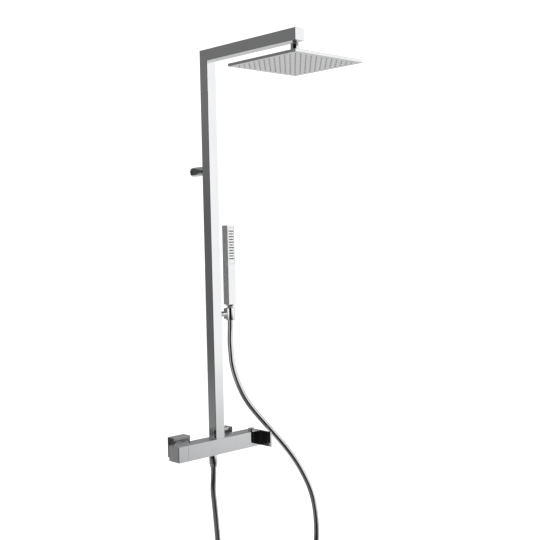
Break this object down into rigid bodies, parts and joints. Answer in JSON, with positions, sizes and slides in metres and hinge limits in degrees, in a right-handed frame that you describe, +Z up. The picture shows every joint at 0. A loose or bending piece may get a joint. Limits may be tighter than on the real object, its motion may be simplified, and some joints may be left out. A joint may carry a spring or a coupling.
{
  "type": "rainfall shower column",
  "caption": "Square chrome shower column: bar mixer on two wall unions, riser and overhead arm, flat square rain head on a ball joint, stick handset with hose in a side holder.",
  "frame": {"origin": "on the wall plane, midway between the two wall inlets", "axes": "+X right along the mixer, +Y into the wall, +Z up"},
  "size_m": [0.4524, 0.508, 1.5451],
  "materials": {
    "chrome": "polished chrome plate",
    "steel": "satin stainless steel",
    "hose_metal": "spiral wound polished steel",
    "brass": "machined brass",
    "seal_rubber": "moulded matt",
    "nozzle_silicone": "moulded silicone",
    "cartridge_plastic": "moulded matt",
    "white_plastic": "moulded smooth"
  },
  "bodies": {
    "column": {"arm_end_cap": "chrome", "arm_outlet_boss": "brass", "ball_stem": "chrome", "column_grub_screw": "steel", "column_spigot": "brass", "diverter_cartridge": "cartridge_plastic", "diverter_cartridge_ring": "brass", "holder_pin": "chrome", "holder_pin_screw": "steel", "hose_hex_nut": "chrome", "hose_outlet_nipple": "brass", "left_eccentric_union": "brass", "left_escutcheon": "chrome", "left_inlet_seal": "seal_rubber", "left_union_nut": "chrome", "mixer_body": "chrome", "mixing_cartridge": "cartridge_plastic", "mixing_cartridge_ring": "brass", "outlet_washer": "seal_rubber", "overhead_arm": "chrome", "post_grub_screw": "steel", "post_neck_ring": "seal_rubber", "post_screw": "steel", "right_eccentric_union": "brass", "right_escutcheon": "chrome", "right_inlet_seal": "seal_rubber", "right_union_nut": "chrome", "riser_tube": "chrome", "shower_hose": "hose_metal", "spigot_o_ring": "seal_rubber", "wall_flange": "chrome", "wall_post": "chrome"},
    "diverter": {"diverter_knob": "chrome", "diverter_grub_screw": "steel", "diverter_spindle": "brass"},
    "temperature_control": {"temperature_handle": "chrome", "temperature_stop_button": "chrome", "temperature_grub_screw": "steel", "temperature_lever_plate": "chrome", "lever_plate_screw": "steel", "mixing_spindle": "brass"},
    "ball_swivel": {"upper_ball_seat": "white_plastic"},
    "ball_rocker": {"lower_ball_seat": "white_plastic"},
    "rain_head": {"ball_nut": "chrome", "head_shell": "chrome", "head_gasket": "seal_rubber", "nozzle_mat": "nozzle_silicone", "spray_plate": "steel"},
    "holder": {"handset_holder": "chrome", "holder_friction_ring": "seal_rubber"},
    "handset": {"handset_body": "chrome", "handset_nozzle_strip": "chrome", "handset_tail": "chrome", "hose_cone_nut": "chrome", "hose_nut_washer": "seal_rubber", "flow_restrictor": "white_plastic"}
  },
  "joints": [
    {"name": "diverter_turn", "type": "hinge", "parent": "column", "child": "diverter", "pos_m": [-0.1, -0.064, -0.0045], "axis": [1, 0, 0], "range_deg": [-90, 90]},
    {"name": "temperature_turn", "type": "hinge", "parent": "column", "child": "temperature_control", "pos_m": [0.128, -0.064, -0.0045], "axis": [1, 0, 0], "range_deg": [0, 90]},
    {"name": "head_swivel", "type": "hinge", "parent": "column", "child": "ball_swivel", "pos_m": [0.009, -0.394, 1], "axis": [0, 0, 1], "continuous": true},
    {"name": "head_tilt_front", "type": "hinge", "parent": "ball_swivel", "child": "ball_rocker", "pos_m": [0.009, -0.394, 1], "axis": [1, 0, 0], "range_deg": [-10, 10]},
    {"name": "head_tilt_side", "type": "hinge", "parent": "ball_rocker", "child": "rain_head", "pos_m": [0.009, -0.394, 1], "axis": [0, 1, 0], "range_deg": [-10, 10]},
    {"name": "holder_tilt", "type": "hinge", "parent": "column", "child": "holder", "pos_m": [0.055, -0.07, 0.346], "axis": [1, 0, 0], "range_deg": [-25, 25], "deforming": ["shower_hose"]},
    {"name": "handset_lift", "type": "slide", "parent": "holder", "child": "handset", "axis": [0, 0, 1], "range_m": [0, 0.06]}
  ]
}
